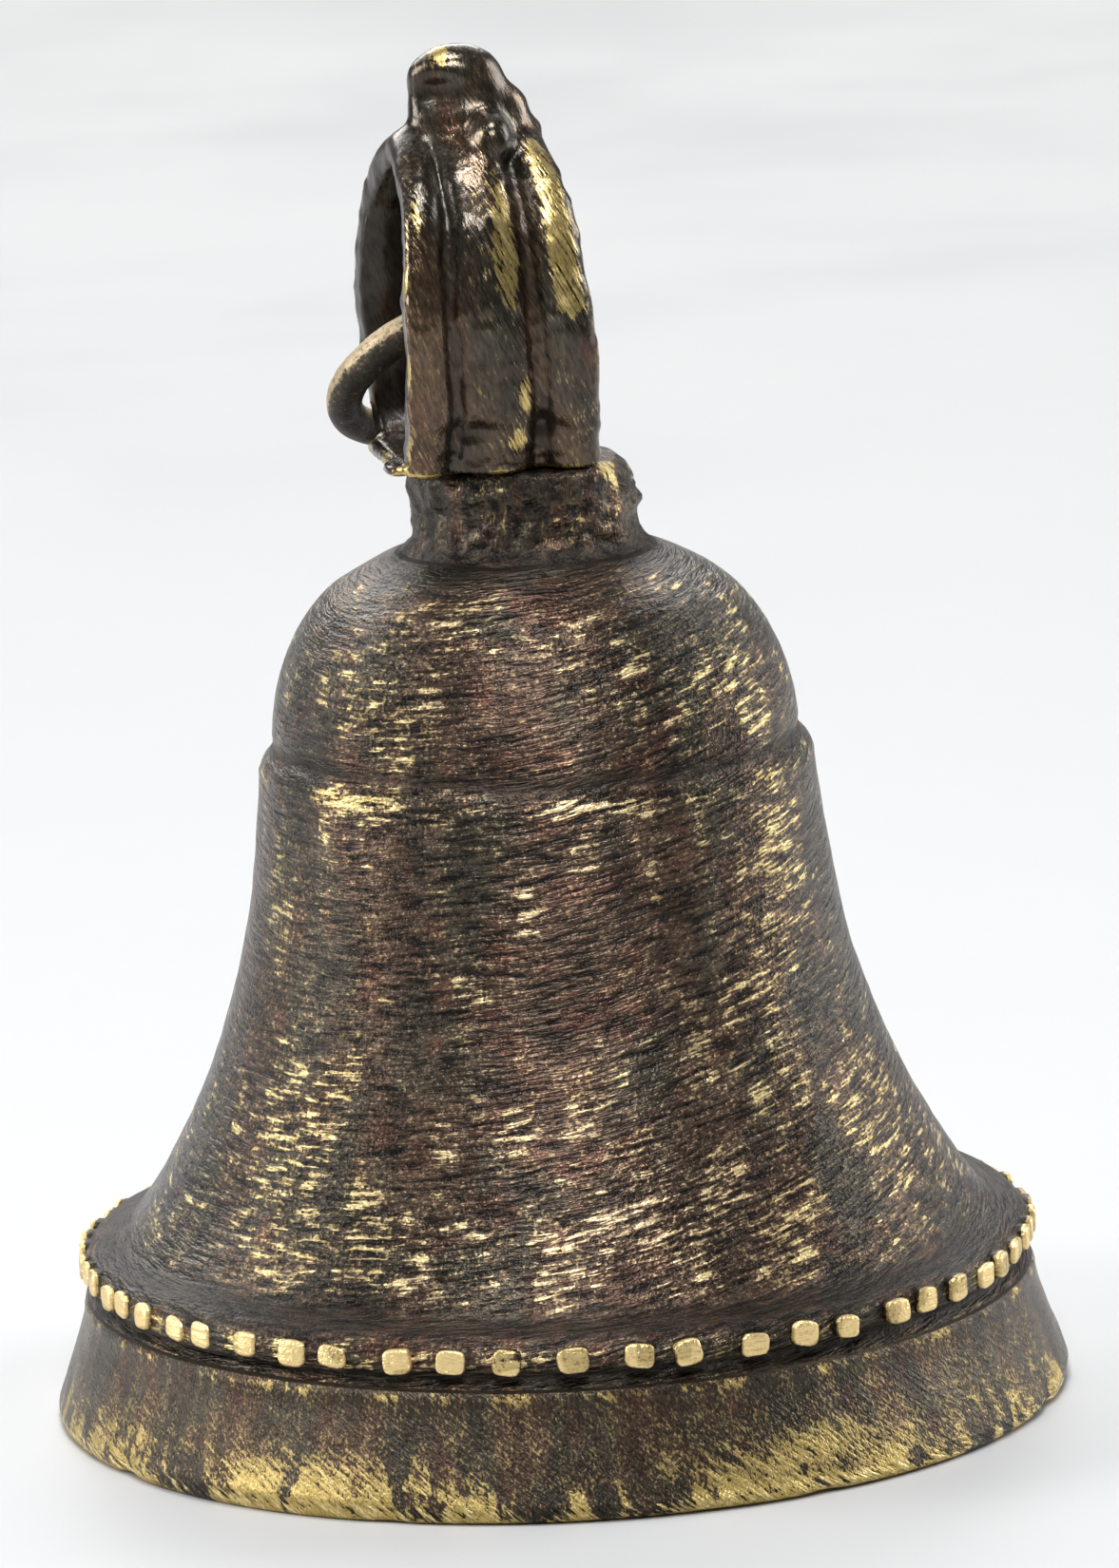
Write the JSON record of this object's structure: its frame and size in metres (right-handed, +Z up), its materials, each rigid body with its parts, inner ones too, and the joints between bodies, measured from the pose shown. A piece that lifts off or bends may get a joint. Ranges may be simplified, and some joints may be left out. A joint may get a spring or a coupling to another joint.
{
  "type": "temple bell",
  "caption": "Cast hand-sized temple bell with a flared beaded mouth, a ribbed crown loop carrying a loose ring, and an inner clapper that swings.",
  "frame": {"origin": "centre of the mouth plane, the flat ring the bell stands on", "axes": "+Z up along the bell's axis; the crown loop's legs stand front (-Y) and back (+Y), so its hole runs along X; the loose ring hangs on the back leg"},
  "size_m": [0.052, 0.052, 0.0699],
  "materials": {
    "cup_brass": "dark brown patina worn to bright brass on the ridges, beads and lip",
    "loop_brass": "dark patina, filed and worn to brass on the raised ribs",
    "ring_brass": "pale satin brass wire",
    "ball_brass": "dull cast brass, worn where it strikes",
    "iron": "dark forged iron with light rust"
  },
  "bodies": {
    "bell": {"bell_body": "cup_brass", "crown_loop": "loop_brass", "crown_stud": "iron", "crown_washer": "iron"},
    "ring": {"hanging_ring": "ring_brass"},
    "link": {"clapper_link": "iron"},
    "clapper": {"clapper_rod": "iron", "clapper_ball": "ball_brass"}
  },
  "joints": [
    {"name": "ring_swing", "type": "hinge", "parent": "bell", "child": "ring", "pos_m": [-0.0022, 0.00505, 0.05295], "axis": [0.965, 0, 0.2622], "range_deg": [-16, 36]},
    {"name": "link_swing", "type": "hinge", "parent": "bell", "child": "link", "pos_m": [0, 0, 0.0358], "axis": [1, 0, 0], "range_deg": [-25, 25]},
    {"name": "clapper_swing", "type": "hinge", "parent": "link", "child": "clapper", "pos_m": [0, 0, 0.0328], "axis": [0, 1, 0], "range_deg": [-14, 14]}
  ]
}
